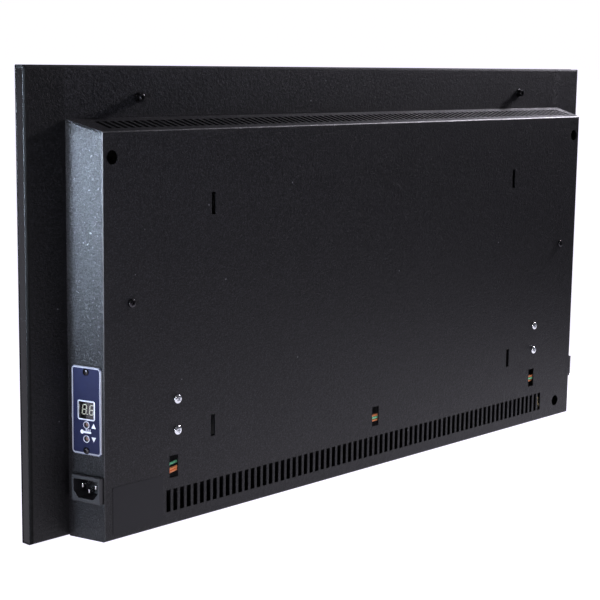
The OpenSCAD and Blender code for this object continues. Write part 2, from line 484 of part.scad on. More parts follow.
front_panel();
panel_tray();
insulation_board();
nut_blocks();
panel_studs();
stud_washers();
rear_casing();
corner_screws();
mid_standoffs();
mid_screws();
rating_plate();
element_brackets();
bracket_screws();
end_bushes();
heater_rod();
heating_fins();
thermal_cutout();
cutout_rivets();
control_plate();
plate_screws();
display_frame();
display_lens();
led_module();
display_digits();
printed_marks();
button_rings();
up_button();
down_button();
tact_switches();
control_board();
board_spacers();
board_nuts();
relay();
power_module();
terminal_block();
power_inlet();
inlet_pins();
rocker_housing();
rocker_switch();
rocker_terminals();
earth_stud();
earth_nuts();
earth_ring();
temperature_sensor();
sensor_clip();
sensor_lead();
live_wires();
neutral_lead();
earth_wire();
element_leads();
wire_clips();
push_on_terminals();
crimp_sleeves();
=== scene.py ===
import json
import math
import bmesh
import bpy
from mathutils import Matrix, Vector


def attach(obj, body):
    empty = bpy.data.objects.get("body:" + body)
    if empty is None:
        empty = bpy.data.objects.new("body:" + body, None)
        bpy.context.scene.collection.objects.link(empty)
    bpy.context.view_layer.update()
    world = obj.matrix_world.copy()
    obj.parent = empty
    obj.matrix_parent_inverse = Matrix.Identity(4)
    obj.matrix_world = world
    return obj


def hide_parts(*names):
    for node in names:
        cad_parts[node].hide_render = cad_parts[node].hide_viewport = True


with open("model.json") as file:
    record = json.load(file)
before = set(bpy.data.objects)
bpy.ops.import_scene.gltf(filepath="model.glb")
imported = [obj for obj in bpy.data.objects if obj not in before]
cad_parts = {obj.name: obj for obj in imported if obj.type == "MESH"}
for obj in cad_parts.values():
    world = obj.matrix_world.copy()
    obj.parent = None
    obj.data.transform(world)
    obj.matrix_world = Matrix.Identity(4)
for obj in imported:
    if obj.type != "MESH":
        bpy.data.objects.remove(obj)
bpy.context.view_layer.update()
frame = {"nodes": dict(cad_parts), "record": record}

scene = bpy.context.scene
scene.view_settings.view_transform = "Standard"
scene.view_settings.look = "None"
NODES = frame["nodes"]
BODY = {"up_button": "up_key", "down_button": "down_key", "rocker_switch": "rocker"}

# ---------------------------------------------------------------- geometry of the part, in millimetres
TH = math.atan(9 / 37)
CT, ST = math.cos(TH), math.sin(TH)
YP = -13.95            # the plane where the casing meets the panel
CASE_HW, CASE_H, CASE_D = 358.5, 356.0, 37.0
MM = 0.001


def at_panel(x, d, z):
    return Vector((x, d + YP, z)) * MM


def sidep(s, z, h):
    return Vector((CASE_HW - s * ST + h * CT, s * CT + h * ST, z))


def farp(s, z, h):
    return Vector((-CASE_HW + s * ST - h * CT, s * CT + h * ST, z))


# frames: columns are the local x, y, z axes in the part's frame; used as 4x4 matrices in metres
def frame_matrix(ax, ay, az, origin_mm):
    m = Matrix.Identity(4)
    for i in range(3):
        m[i][0], m[i][1], m[i][2], m[i][3] = ax[i], ay[i], az[i], origin_mm[i] * MM
    return m


SIDE = frame_matrix((-ST, CT, 0), (0, 0, 1), (CT, ST, 0), (CASE_HW, YP, 0))     # s, z, h on the control side
FAR = frame_matrix((ST, CT, 0), (0, 0, 1), (-CT, ST, 0), (-CASE_HW, YP, 0))     # mirrored: left-handed
REAR = frame_matrix((-1, 0, 0), (0, 0, 1), (0, 1, 0), (0, YP + CASE_D, 0))      # seen from behind


# ---------------------------------------------------------------- materials
def new_mat(name):
    m = bpy.data.materials.new(name)
    m.use_nodes = True
    nt = m.node_tree
    bsdf = nt.nodes["Principled BSDF"]
    return m, nt, bsdf


def noise(nt, scale, detail=2.0, rough=0.5, coord=None):
    n = nt.nodes.new("ShaderNodeTexNoise")
    n.inputs["Scale"].default_value = scale
    n.inputs["Detail"].default_value = detail
    n.inputs["Roughness"].default_value = rough
    nt.links.new(coord, n.inputs["Vector"])
    return n


def coords(nt):
    t = nt.nodes.new("ShaderNodeTexCoord")
    return t.outputs["Object"]


def ramp(nt, src, p0, c0, p1, c1):
    r = nt.nodes.new("ShaderNodeValToRGB")
    e = r.color_ramp.elements
    e[0].position, e[0].color = p0, (*c0, 1)
    e[1].position, e[1].color = p1, (*c1, 1)
    nt.links.new(src, r.inputs["Fac"])
    return r.outputs["Color"]


def span(nt, src, a, b, lo, hi):
    r = nt.nodes.new("ShaderNodeMapRange")
    r.inputs["From Min"].default_value, r.inputs["From Max"].default_value = a, b
    r.inputs["To Min"].default_value, r.inputs["To Max"].default_value = lo, hi
    nt.links.new(src, r.inputs["Value"])
    return r.outputs["Result"]


def bump(nt, src, strength, distance, normal=None):
    b = nt.nodes.new("ShaderNodeBump")
    b.inputs["Strength"].default_value = strength
    b.inputs["Distance"].default_value = distance
    nt.links.new(src, b.inputs["Height"])
    if normal is not None:
        nt.links.new(normal, b.inputs["Normal"])
    return b.outputs["Normal"]


def setp(bsdf, **kw):
    names = {"metallic": "Metallic", "rough": "Roughness", "spec": "Specular IOR Level", "ior": "IOR",
             "coat": "Coat Weight", "coat_rough": "Coat Roughness", "trans": "Transmission Weight",
             "emit": "Emission Strength", "sheen": "Sheen Weight", "sheen_rough": "Sheen Roughness"}
    for k, v in kw.items():
        bsdf.inputs[names[k]].default_value = v


def powder(name, dark, light, rough, grain=900.0, strength=0.35, spec=0.5):
    """Powder coat: orange-peel grain, faint cloudy wear, a few pale specks of dust and painted glints, painted shade
    on the panel's end faces, on the panel back beyond the control side and on the slot walls in the top, a painted
    highlight along the casing's rear bends, and edges that dried unevenly.
    """
    m, nt, b = new_mat(name)
    co = coords(nt)
    fine = noise(nt, grain, 3.0, 0.65, co).outputs["Fac"]
    broad = noise(nt, 9.0, 3.0, 0.55, co).outputs["Fac"]
    col = ramp(nt, fine, 0.48, dark, 0.72, light)
    mix = nt.nodes.new("ShaderNodeMix"); mix.data_type = "RGBA"; mix.blend_type = "MULTIPLY"
    mix.inputs[0].default_value = 1.0
    nt.links.new(col, mix.inputs[6])
    nt.links.new(ramp(nt, broad, 0.3, (0.8, 0.8, 0.8), 0.7, (1, 1, 1)), mix.inputs[7])
    # dust and painted glints: small pale round grains, only in some of the cells
    cells = nt.nodes.new("ShaderNodeTexVoronoi")
    cells.inputs["Scale"].default_value = 95.0
    nt.links.new(co, cells.inputs["Vector"])
    pick = nt.nodes.new("ShaderNodeSeparateXYZ")
    nt.links.new(cells.outputs["Color"], pick.inputs[0])
    some = span(nt, pick.outputs["X"], 0.93, 0.95, 0.0, 1.0)
    dot = span(nt, cells.outputs["Distance"], 0.04, 0.075, 1.0, 0.0)
    both = nt.nodes.new("ShaderNodeMath"); both.operation = "MULTIPLY"; both.use_clamp = True
    nt.links.new(some, both.inputs[0])
    nt.links.new(dot, both.inputs[1])
    dust_and_glint_specks = nt.nodes.new("ShaderNodeMix"); dust_and_glint_specks.data_type = "RGBA"
    nt.links.new(both.outputs[0], dust_and_glint_specks.inputs[0])
    nt.links.new(mix.outputs[2], dust_and_glint_specks.inputs[6])
    dust_and_glint_specks.inputs[7].default_value = (0.2, 0.2, 0.22, 1)
    xyz = nt.nodes.new("ShaderNodeSeparateXYZ")
    nt.links.new(co, xyz.inputs[0])
    far_out = nt.nodes.new("ShaderNodeMath"); far_out.operation = "ABSOLUTE"
    nt.links.new(xyz.outputs["X"], far_out.inputs[0])
    # painted shade: the colour drops to a quarter on the panel's end faces
    end_face_shade = nt.nodes.new("ShaderNodeVectorMath"); end_face_shade.operation = "SCALE"
    nt.links.new(dust_and_glint_specks.outputs[2], end_face_shade.inputs[0])
    nt.links.new(span(nt, far_out.outputs[0], 0.3955, 0.3965, 1.0, 0.25), end_face_shade.inputs["Scale"])
    # painted shade: the colour drops to 0.4 where X passes 0.3588 m, on the panel back beyond the control side wall
    shaded = nt.nodes.new("ShaderNodeVectorMath"); shaded.operation = "SCALE"
    nt.links.new(end_face_shade.outputs["Vector"], shaded.inputs[0])
    nt.links.new(span(nt, xyz.outputs["X"], 0.3588, 0.3596, 1.0, 0.4), shaded.inputs["Scale"])
    # painted highlight: a paler line along the outer bends of the casing, stronger towards the top
    bend = nt.nodes.new("ShaderNodeMath"); bend.operation = "MULTIPLY"
    nt.links.new(span(nt, far_out.outputs[0], 0.3488, 0.3492, 0.0, 0.11), bend.inputs[0])
    nt.links.new(span(nt, xyz.outputs["Y"], (YP + 36.1) * MM, (YP + 36.4) * MM, 0.0, 1.0), bend.inputs[1])
    upper = nt.nodes.new("ShaderNodeMath"); upper.operation = "MULTIPLY"
    nt.links.new(bend.outputs[0], upper.inputs[0])
    nt.links.new(span(nt, xyz.outputs["Z"], 0.1, 0.3, 0.3, 1.0), upper.inputs[1])
    bend_highlight = nt.nodes.new("ShaderNodeVectorMath"); bend_highlight.operation = "ADD"
    nt.links.new(shaded.outputs["Vector"], bend_highlight.inputs[0])
    nt.links.new(upper.outputs[0], bend_highlight.inputs[1])
    # painted shade: the cut walls of the slots in the leaning top are darkened so the slots read black, and the coat
    # there is made rougher
    down = nt.nodes.new("ShaderNodeVectorMath"); down.operation = "DOT_PRODUCT"
    nt.links.new(co, down.inputs[0])
    down.inputs[1].default_value = (0.0, -ST, -CT)
    top = (YP * ST + CASE_H * CT) * MM
    cut = span(nt, down.outputs["Value"], 0.00006 - top, 0.00012 - top, 0.0, 1.0)
    for src, a, c, lo, hi in ((down.outputs["Value"], 0.0014 - top, 0.0017 - top, 1.0, 0.0),
                              (xyz.outputs["Y"], (YP + 30.0) * MM, (YP + 30.2) * MM, 1.0, 0.0),
                              (xyz.outputs["Y"], (YP + 7.0) * MM, (YP + 7.2) * MM, 0.0, 1.0)):
        both_in = nt.nodes.new("ShaderNodeMath"); both_in.operation = "MULTIPLY"
        nt.links.new(cut, both_in.inputs[0])
        nt.links.new(span(nt, src, a, c, lo, hi), both_in.inputs[1])
        cut = both_in.outputs[0]
    slot_wall_shade = nt.nodes.new("ShaderNodeVectorMath"); slot_wall_shade.operation = "SCALE"
    nt.links.new(bend_highlight.outputs["Vector"], slot_wall_shade.inputs[0])
    nt.links.new(span(nt, cut, 0.0, 1.0, 1.0, 0.15), slot_wall_shade.inputs["Scale"])
    nt.links.new(slot_wall_shade.outputs["Vector"], b.inputs["Base Color"])
    mid = noise(nt, grain * 0.42, 2.0, 0.5, co).outputs["Fac"]
    # the coat is smoother on the panel's end faces and drier round its outer bends
    ends = nt.nodes.new("ShaderNodeMath"); ends.operation = "ADD"
    nt.links.new(span(nt, far_out.outputs[0], 0.3964, 0.397, 0.0, 0.45), ends.inputs[0])
    nt.links.new(span(nt, far_out.outputs[0], 0.39952, 0.39962, 0.0, -0.66), ends.inputs[1])
    tops = span(nt, xyz.outputs["Z"], 0.3968, 0.3978, 0.0, 0.4)
    edge = nt.nodes.new("ShaderNodeMath"); edge.operation = "ADD"
    nt.links.new(ends.outputs[0], edge.inputs[0])
    nt.links.new(tops, edge.inputs[1])
    # and it is matt on the casing's top wall
    roof = nt.nodes.new("ShaderNodeMath"); roof.operation = "MULTIPLY"
    nt.links.new(span(nt, xyz.outputs["Z"], 0.3445, 0.347, 0.0, 0.08), roof.inputs[0])
    nt.links.new(span(nt, xyz.outputs["Y"], (YP + 0.5) * MM, (YP + 0.9) * MM, 0.0, 1.0), roof.inputs[1])
    both_ = nt.nodes.new("ShaderNodeMath"); both_.operation = "ADD"
    nt.links.new(edge.outputs[0], both_.inputs[0])
    nt.links.new(roof.outputs[0], both_.inputs[1])
    total = nt.nodes.new("ShaderNodeMath"); total.operation = "ADD"
    nt.links.new(both_.outputs[0], total.inputs[0])
    # the leaning side walls have a sparkling grain of glossy and matt spots
    wall = nt.nodes.new("ShaderNodeMath"); wall.operation = "MULTIPLY"
    nt.links.new(span(nt, far_out.outputs[0], 0.349, 0.3496, 0.0, 1.0), wall.inputs[0])
    nt.links.new(span(nt, far_out.outputs[0], 0.3587, 0.3592, 1.0, 0.0), wall.inputs[1])
    spots = nt.nodes.new("ShaderNodeMath"); spots.operation = "MULTIPLY"
    nt.links.new(wall.outputs[0], spots.inputs[0])
    nt.links.new(span(nt, noise(nt, grain * 0.85, 0.0, 0.5, co).outputs["Fac"], 0.38, 0.62, -0.1, 0.27), spots.inputs[1])
    spotted = nt.nodes.new("ShaderNodeMath"); spotted.operation = "ADD"
    nt.links.new(spots.outputs[0], spotted.inputs[0])
    nt.links.new(span(nt, mid, 0.25, 0.75, rough - 0.08, rough + 0.08), spotted.inputs[1])
    nt.links.new(spotted.outputs[0], total.inputs[1])
    dull = nt.nodes.new("ShaderNodeMath"); dull.operation = "ADD"; dull.use_clamp = True
    nt.links.new(total.outputs[0], dull.inputs[0])
    nt.links.new(span(nt, cut, 0.0, 1.0, 0.0, 0.55), dull.inputs[1])
    nt.links.new(dull.outputs[0], b.inputs["Roughness"])
    # the peel is nearly flat on the panel's end faces
    peel = span(nt, far_out.outputs[0], 0.397, 0.399, 1.0, 0.25)

    def peeled(src):
        level = nt.nodes.new("ShaderNodeMath"); level.operation = "SUBTRACT"
        nt.links.new(src, level.inputs[0])
        level.inputs[1].default_value = 0.5
        out = nt.nodes.new("ShaderNodeMath"); out.operation = "MULTIPLY"
        nt.links.new(level.outputs[0], out.inputs[0])
        nt.links.new(peel, out.inputs[1])
        return out.outputs[0]

    n1 = bump(nt, peeled(mid), strength, 0.00046)
    n2 = bump(nt, peeled(fine), strength, 0.0006, n1)
    nt.links.new(n2, b.inputs["Normal"])
    setp(b, spec=spec)
    return m


def metal(name, color, rough, brushed=None, spec=0.5, tint=0.08):
    m, nt, b = new_mat(name)
    co = coords(nt)
    if brushed:
        mp = nt.nodes.new("ShaderNodeMapping")
        mp.inputs["Scale"].default_value = brushed
        nt.links.new(co, mp.inputs["Vector"])
        co2 = mp.outputs["Vector"]
    else:
        co2 = co
    n = noise(nt, 600.0, 4.0, 0.6, co2).outputs["Fac"]
    c2 = tuple(max(0.0, c * (1 - 2.2 * tint)) for c in color)
    nt.links.new(ramp(nt, noise(nt, 160.0, 3.0, 0.6, co).outputs["Fac"], 0.3, c2, 0.68, color), b.inputs["Base Color"])
    nt.links.new(span(nt, n, 0.2, 0.8, rough - 0.07, rough + 0.09), b.inputs["Roughness"])
    nt.links.new(bump(nt, n, 0.12, 0.00005), b.inputs["Normal"])
    setp(b, metallic=1.0, spec=spec)
    return m


def plastic(name, color, rough, grain=1400.0, strength=0.15, spec=0.5, coat=0.0, shade=0.12):
    m, nt, b = new_mat(name)
    co = coords(nt)
    n = noise(nt, grain, 3.0, 0.6, co).outputs["Fac"]
    c2 = tuple(c * (1 - shade) for c in color)
    nt.links.new(ramp(nt, noise(nt, 220.0, 3.0, 0.5, co).outputs["Fac"], 0.3, c2, 0.7, color), b.inputs["Base Color"])
    nt.links.new(span(nt, n, 0.25, 0.75, max(0.03, rough - 0.05), rough + 0.05), b.inputs["Roughness"])
    nt.links.new(bump(nt, n, strength, 0.00006), b.inputs["Normal"])
    setp(b, spec=spec, coat=coat, coat_rough=0.08)
    return m


MAT = {}
MAT["powder_coat"] = powder("powder_coat", (0.0024, 0.0023, 0.003), (0.025, 0.024, 0.029), 0.42, 900.0, 0.5, 0.245)
MAT["front_coat"] = powder("front_coat", (0.0024, 0.0023, 0.003), (0.022, 0.021, 0.025), 0.48, 1000.0, 0.3, 0.08)
MAT["black_screw"] = metal("black_screw", (0.05, 0.048, 0.052), 0.22)
MAT["zinc"] = metal("zinc", (0.78, 0.8, 0.83), 0.22)
MAT["nickel"] = metal("nickel", (0.5, 0.49, 0.48), 0.24)
MAT["galvanised"] = metal("galvanised", (0.5, 0.51, 0.52), 0.38, None, 0.5, 0.14)
MAT["fin_alu"] = metal("fin_alu", (0.7, 0.71, 0.73), 0.34, (0.05, 1, 1))
MAT["rod_steel"] = metal("rod_steel", (0.32, 0.29, 0.26), 0.36, (0.1, 1, 1), 0.5, 0.16)
MAT["ceramic_white"] = plastic("ceramic_white", (0.8, 0.77, 0.7), 0.6, 900.0, 0.3)
MAT["mineral_wool"] = plastic("mineral_wool", (0.42, 0.38, 0.28), 0.9, 500.0, 0.8)
MAT["label_black"] = plastic("label_black", (0.005, 0.005, 0.007), 0.4, 700.0, 0.1, 0.23)
MAT["navy_plate"] = plastic("navy_plate", (0.0095, 0.012, 0.044), 0.38, 900.0, 0.2, 0.12)
MAT["silver_trim"] = metal("silver_trim", (0.62, 0.62, 0.7), 0.3)
MAT["black_plastic"] = plastic("black_plastic", (0.0135, 0.0135, 0.0155), 0.45, 1300.0, 0.25, 0.4)
MAT["gloss_black"] = plastic("gloss_black", (0.006, 0.006, 0.007), 0.22, 900.0, 0.06, 0.4)
MAT["segment_white"] = plastic("segment_white", (0.8, 0.82, 0.72), 0.4, 900.0, 0.05)
seg_b = MAT["segment_white"].node_tree.nodes["Principled BSDF"]
seg_b.inputs["Emission Color"].default_value = (0.92, 0.95, 0.8, 1)
seg_b.inputs["Emission Strength"].default_value = 0.42
MAT["mark_white"] = plastic("mark_white", (0.78, 0.79, 0.9), 0.42, 900.0, 0.05)


def plate_zone(nt, half_s, half_z):
    """1 inside a rectangle about the middle of the control plate, 0 outside it; sizes in metres."""
    co = coords(nt)
    along = nt.nodes.new("ShaderNodeVectorMath"); along.operation = "DOT_PRODUCT"
    nt.links.new(co, along.inputs[0])
    along.inputs[1].default_value = (-ST, CT, 0.0)
    xyz = nt.nodes.new("ShaderNodeSeparateXYZ")
    nt.links.new(co, xyz.inputs[0])
    out = nt.nodes.new("ShaderNodeMath"); out.operation = "MULTIPLY"
    for i, (src, mid, half) in enumerate(((along.outputs["Value"], (-CASE_HW * ST + YP * CT + 20.0) * MM, half_s),
                                          (xyz.outputs["Z"], 0.1127, half_z))):
        near = nt.nodes.new("ShaderNodeMath"); near.operation = "COMPARE"
        nt.links.new(src, near.inputs[0])
        near.inputs[1].default_value, near.inputs[2].default_value = mid, half
        nt.links.new(near.outputs[0], out.inputs[i])
    return out.outputs[0]


def outside(name, half_s, half_z, color):
    """Another colour for the part of a material that lies outside the zone."""
    nt = MAT[name].node_tree
    b = nt.nodes["Principled BSDF"]
    mix = nt.nodes.new("ShaderNodeMix"); mix.data_type = "RGBA"
    nt.links.new(plate_zone(nt, half_s, half_z), mix.inputs[0])
    mix.inputs[6].default_value = (*color, 1)
    nt.links.new(b.inputs["Base Color"].links[0].from_socket, mix.inputs[7])
    nt.links.new(mix.outputs[2], b.inputs["Base Color"])


# the border line is silver ink, duller than the white signs inside it; the plate's milled edges are bare metal
outside("mark_white", 0.012, 0.034, (0.3, 0.305, 0.36))
outside("navy_plate", 0.01525, 0.03775, (0.42, 0.42, 0.47))
MAT["mark_white"].node_tree.nodes["Principled BSDF"].inputs["Specular IOR Level"].default_value = 0.25
MAT["button_brown"] = plastic("button_brown", (0.17, 0.1, 0.085), 0.35, 900.0, 0.1)
MAT["board_green"] = plastic("board_green", (0.008, 0.06, 0.024), 0.3, 500.0, 0.1)
MAT["nylon_white"] = plastic("nylon_white", (0.72, 0.71, 0.67), 0.45, 900.0, 0.1)
MAT["relay_blue"] = plastic("relay_blue", (0.02, 0.09, 0.33), 0.3, 900.0, 0.06)
MAT["terminal_green"] = plastic("terminal_green", (0.02, 0.28, 0.09), 0.38, 900.0, 0.06)
MAT["brass"] = metal("brass", (0.86, 0.7, 0.38), 0.22)
MAT["wire_orange"] = plastic("wire_orange", (0.95, 0.32, 0.13), 0.3, 900.0, 0.06)
MAT["wire_blue"] = plastic("wire_blue", (0.03, 0.1, 0.42), 0.3, 900.0, 0.06)
MAT["wire_green"] = plastic("wire_green", (0.28, 0.88, 0.52), 0.3, 900.0, 0.06)
MAT["wire_white"] = plastic("wire_white", (0.74, 0.73, 0.69), 0.6, 2400.0, 0.4)
MAT["sleeve_red"] = plastic("sleeve_red", (0.4, 0.04, 0.03), 0.35, 900.0, 0.06)
lens, nt, b = new_mat("lens")
nt.links.new(ramp(nt, noise(nt, 300.0, 2.0, 0.5, coords(nt)).outputs["Fac"], 0.3, (0.72, 0.73, 0.74), 0.7, (0.78, 0.79, 0.8)), b.inputs["Base Color"])
setp(b, rough=0.05, trans=1.0, ior=1.49)
MAT["lens"] = lens

SLOT = {s["node"]: s["material_slot"] for s in frame["record"]["subparts"]}
for name, ob in NODES.items():
    ob.data.materials.clear()
    ob.data.materials.append(MAT[SLOT[name]])


# ---------------------------------------------------------------- pieces
def piece(name, me, *nodes):
    """A new mesh that stands for CAD nodes and moves with their body."""
    ob = bpy.data.objects.new(name, me)
    scene.collection.objects.link(ob)
    me.materials.clear()
    me.materials.append(MAT[SLOT[nodes[0]]])
    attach(ob, BODY.get(nodes[0], "heater"))
    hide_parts(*nodes)
    return ob


def soften(node, width, angle=28.0, segments=2, sharp=None, wide=None):
    """The CAD node's own faces with small rounded edges, as folded, cut and moulded parts have.
    sharp tells which points belong to edges that stay as the punch left them, and wide which to
    the bends that have the full radius, where all other edges have a quarter of it."""
    bm = bmesh.new()
    bm.from_mesh(NODES[node].data)
    bmesh.ops.remove_doubles(bm, verts=bm.verts, dist=1e-6)
    bmesh.ops.dissolve_limit(bm, angle_limit=math.radians(0.3), verts=bm.verts, edges=bm.edges)
    for f in bm.faces:
        f.smooth = True
    if sharp:
        weight = bm.edges.layers.float.new("bevel_weight_edge")
        for e in bm.edges:
            turned = len(e.link_faces) == 2 and e.calc_face_angle(0.0) > math.radians(angle)
            kept = all(sharp(v.co) for v in e.verts)
            e[weight] = 0.0 if kept or not turned else 1.0 if not wide or all(wide(v.co) for v in e.verts) else 0.25
            e.smooth = not turned or e[weight] > 0.1
    me = bpy.data.meshes.new(node + "_soft")
    bm.to_mesh(me)
    bm.free()
    ob = piece(node + "_soft", me, node)
    bv = ob.modifiers.new("edges", "BEVEL")
    bv.width = width * MM
    bv.segments = segments
    bv.limit_method = "WEIGHT" if sharp else "ANGLE"
    bv.angle_limit = math.radians(angle)
    bv.use_clamp_overlap = True
    wn_ = ob.modifiers.new("shading", "WEIGHTED_NORMAL")
    wn_.mode = "FACE_AREA"
    wn_.weight = 100
    wn_.keep_sharp = True
    return ob


def in_outlet(v):
    """A corner of one of the slots in the top face."""
    return v.z > 0.345 and 0.0075 < v.y - YP * MM < 0.0298 and abs(v.x) < 0.345


def at_bend(v):
    """A point of the outer bends between the rear wall and the side walls."""
    return abs(v.x) > 0.3489 and v.y - YP * MM > 0.0365


def on_stem(v):
    """A corner of a button below its cap, where its stem runs in the switch."""
    return (v.x / MM - CASE_HW) * CT + (v.y / MM - YP) * ST < -3


SHARP = {"rear_casing": in_outlet, "up_button": on_stem, "down_button": on_stem}
for node, width in {
    "front_panel": 0.35, "panel_tray": 0.25, "rear_casing": 0.8, "rating_plate": 0.06, "control_plate": 0.4,
    "display_frame": 0.12, "power_inlet": 0.3, "inlet_pins": 0.6, "rocker_housing": 0.3, "rocker_switch": 0.5,
    "panel_studs": 0.3, "stud_washers": 0.2, "up_button": 0.4, "down_button": 0.4, "button_rings": 0.15,
    "led_module": 0.3, "element_brackets": 0.2, "relay": 0.4, "power_module": 0.5, "terminal_block": 0.3,
    "earth_stud": 0.3, "earth_nuts": 0.3, "end_bushes": 0.4, "mid_standoffs": 0.2, "nut_blocks": 0.2,
    "push_on_terminals": 0.25, "crimp_sleeves": 0.3, "wire_clips": 0.3, "sensor_clip": 0.2, "thermal_cutout": 0.3,
}.items():
    soften(node, width, sharp=SHARP.get(node), wide=at_bend if node == "rear_casing" else None)


# smooth round wires along the CAD model's own routes
def smooth(p, k):
    out = []
    n = len(p)
    for i in range(n - 1):
        a, b_, c, e = p[max(i - 1, 0)], p[i], p[i + 1], p[min(i + 2, n - 1)]
        length = (c - b_).length
        m0 = ((c - a).normalized() if i > 0 else (c - b_).normalized()) * length
        m1 = ((e - b_).normalized() if i < n - 2 else (c - b_).normalized()) * length
        for j in range(k):
            s = j / k
            out.append((2 * s**3 - 3 * s * s + 1) * b_ + (s**3 - 2 * s * s + s) * m0 + (3 * s * s - 2 * s**3) * c + (s**3 - s * s) * m1)
    out.append(p[-1])
    return out


def tube(bm, pts, diameter, sides=14, k=9):
    q = smooth([Vector(v) for v in pts], k)
    n = len(q)
    tan = [(q[min(i + 1, n - 1)] - q[max(i - 1, 0)]).normalized() for i in range(n)]
    side = Vector((0, 0, 1)) if abs(tan[0].z) < 0.8 else Vector((1, 0, 0))
    rings = []
    for i in range(n):
        side = (side - tan[i] * side.dot(tan[i])).normalized()
        up_ = tan[i].cross(side)
        rings.append([bm.verts.new((q[i] + (side * math.cos(a) + up_ * math.sin(a)) * diameter / 2 + Vector((0, YP, 0))) * MM)
                      for a in (2 * math.pi * j / sides for j in range(sides))])
    for i in range(n - 1):
        for j in range(sides):
            f = bm.faces.new((rings[i][j], rings[i][(j + 1) % sides], rings[i + 1][(j + 1) % sides], rings[i + 1][j]))
            f.smooth = True
    bm.faces.new(rings[0][::-1])
    bm.faces.new(rings[-1])


SC, TZ, BH, EX, EB, ED, EZ = 20.0, 89.0, -10.0, -3.0, 271.0, 18.5, 98.3
IC, RC, CX, SHEET = (20.9, 45.3), (21.6, 55.3), -3.0 + 271.0 - 10.0 + 1.2, 1.2


def send(s, z, h, e):
    return [sidep(s, z, v) for v in (h, e, e - 2)]


def fend(s, z, h, e):
    return [farp(s, z, v) for v in (h, e, e - 2)]


def xend(a, b_, y, z):
    return [Vector((v, y, z)) for v in (a, b_, b_ + (2 if b_ > a else -2))]


ROUTES = {
    "live_wires": [
        (2.4, send(IC[0] - 7, IC[1] + 1.5, -25, -31.2) + [(315, 10, 50), (304, 20, 49.5), (289, 33, 47.4), (272, 33.4, 49.6),
         (255, 33.4, 51.9), (230, 33.4, 52.5), (0, 33.4, 52.5), (-240, 33.4, 53.4), (-270, 33.4, 53.5), (-286, 33.2, 53.6),
         (-304, 29, 54.6)] + fend(RC[0] + 7, RC[1], -24, -30.2)[::-1]),
        (2.4, send(SC - 4, TZ, BH - 8, BH - 12.5) + [(319, 9, 72), (311, 22, 54), (305, 28.5, 45), (289, 33, 44.6), (272, 33.4, 47),
         (255, 33.4, 49.3), (230, 33.4, 49.9), (0, 33.4, 47.35), (-240, 33.4, 48.1), (-268, 33.4, 48.2), (-280, 31.8, 48.4),
         (-294, 23, 49.6), (-309, 13.5, 51.8)] + fend(RC[0] - 7, RC[1] - 1.5, -24, -30.2)[::-1]),
        (2.4, fend(RC[0] - 7, RC[1] + 1.5, -24, -30.2) + [(-317, 9, 68), (-306, 14, 86)]
         + xend(EX - EB - 11.5, EX - EB - 19, ED, EZ)[::-1]),
    ],
    "neutral_lead": [(2.4, send(IC[0] + 7, IC[1] + 1.5, -25, -31.2) + [(317, 22, 58), (319, 23, 74)]
                      + send(SC + 8, TZ, BH - 8, BH - 12.5)[::-1])],
    "earth_wire": [(2.4, send(IC[0], IC[1] - 2.6, -25, -31.2) + [(313, 18, 40), (300, 26, 43.2), (293.5, 28.4, 44.2), (288, 29.5, 46.8),
                    (281, 30, 50.6), (264, 30.6, 54), (240, 31, 56.2), (191, 30.9, 55.6), (140, 30.9, 53.4), (40, 30.9, 50.2),
                    (12, 33.2, 49.9), (0, 33.4, 49.92), (-240, 33.4, 50.75), (-272, 33.4, 50.85), (-284, 33.8, 50), (-295, 33.8, 44),
                    (-303, 32, 30), (-305, 31.5, 21), (-305, 31.5, SHEET + 16.3), (-305, 31.5, SHEET + 11.4)])],
    "element_leads": [
        (2.4, send(SC + 4, TZ, BH - 8, BH - 12.5) + [(312, 16.5, 112), (300, 14.5, 134)] + xend(CX + 16, CX + 22.5, 14.5, EZ + 38)[::-1]),
        (2.4, xend(CX + 16, CX + 22.5, 22.5, EZ + 38) + [(294, 22.5, 130), (296.5, 19.5, 108)]
         + xend(EX + EB + 11.5, EX + EB + 19, ED, EZ)[::-1]),
    ],
    "sensor_lead": [(1.5, xend(296.5, 301, 22, 24) + [(307, 12, 33), (308, 5, 52), (319, 3.5, 75)]
                     + send(SC - 8, TZ, BH - 8, BH - 12.5)[::-1])],
}
for node, wires in ROUTES.items():
    bm = bmesh.new()
    for diameter, pts in wires:
        tube(bm, pts, diameter)
    bmesh.ops.recalc_face_normals(bm, faces=bm.faces)
    me = bpy.data.meshes.new(node + "_round")
    bm.to_mesh(me)
    bm.free()
    piece(node + "_round", me, node)


# pan head screws with a domed head and a tapered cross recess, along local +Z
def lathe(bm, profile, sides=40):
    """Closed solid of revolution about Z; profile runs from the axis at the bottom to the axis at the top."""
    rings = []
    for r, z in profile:
        if r < 1e-6:
            rings.append([bm.verts.new((0, 0, z))])
        else:
            rings.append([bm.verts.new((r * math.cos(2 * math.pi * j / sides), r * math.sin(2 * math.pi * j / sides), z)) for j in range(sides)])
    for a, b_ in zip(rings, rings[1:]):
        for j in range(sides):
            k = (j + 1) % sides
            if len(a) == 1 and len(b_) == 1:
                continue
            if len(a) == 1:
                bm.faces.new((a[0], b_[k], b_[j]))
            elif len(b_) == 1:
                bm.faces.new((a[j], a[k], b_[0]))
            else:
                bm.faces.new((a[j], a[k], b_[k], b_[j]))


